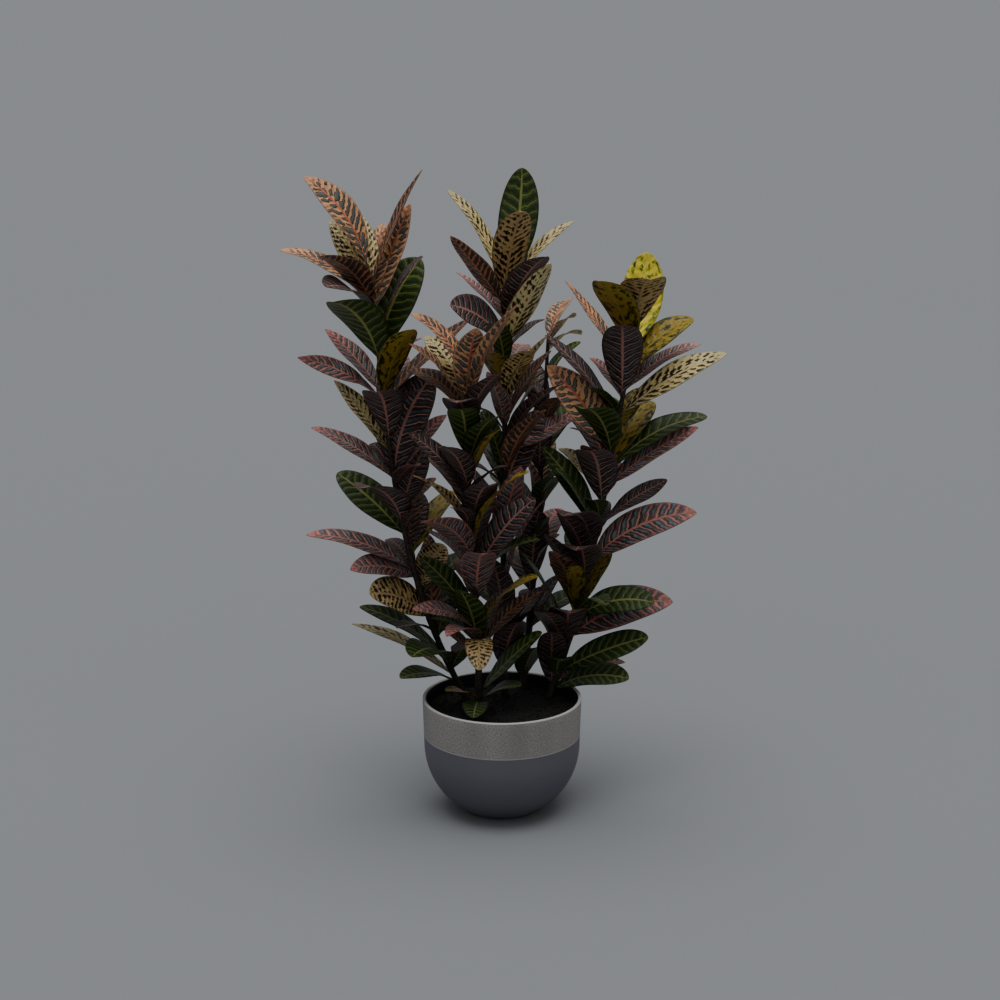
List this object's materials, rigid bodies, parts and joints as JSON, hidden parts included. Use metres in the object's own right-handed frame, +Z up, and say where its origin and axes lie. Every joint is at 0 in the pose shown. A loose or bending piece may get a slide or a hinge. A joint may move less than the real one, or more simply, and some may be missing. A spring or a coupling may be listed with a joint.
{
  "type": "potted croton plant",
  "caption": "Bushy potted croton with upright woody stems of variegated lance-shaped leaves, standing in soil in a round two-tone ceramic bowl.",
  "frame": {"origin": "centre of the pot's flat underside", "axes": "+Z up along the plant, +X to the viewer's right and -Y toward the viewer of the picture"},
  "size_m": [0.7568, 0.4378, 1.1203],
  "materials": {
    "pot_ceramic": "matte slate bowl with a lighter, finely mottled band under the rim",
    "potting_soil": "dark granular potting mix",
    "foliage_left": "semi-gloss leaves in orange, cream and dark pink veining",
    "foliage_middle": "semi-gloss leaves in cream, rust and dark green",
    "foliage_front": "semi-gloss leaves in dark green, orange and dark pink veining",
    "foliage_right": "semi-gloss leaves in green, golden olive and dark pink veining",
    "foliage_back": "semi-gloss leaves in green with a few cream and orange ones"
  },
  "bodies": {
    "root": {"pot": "pot_ceramic", "soil": "potting_soil", "leafy_stem_left": "foliage_left", "leafy_stem_middle": "foliage_middle", "leafy_stem_front": "foliage_front", "leafy_stem_right": "foliage_right", "leafy_stem_back": "foliage_back"}
  },
  "joints": []
}
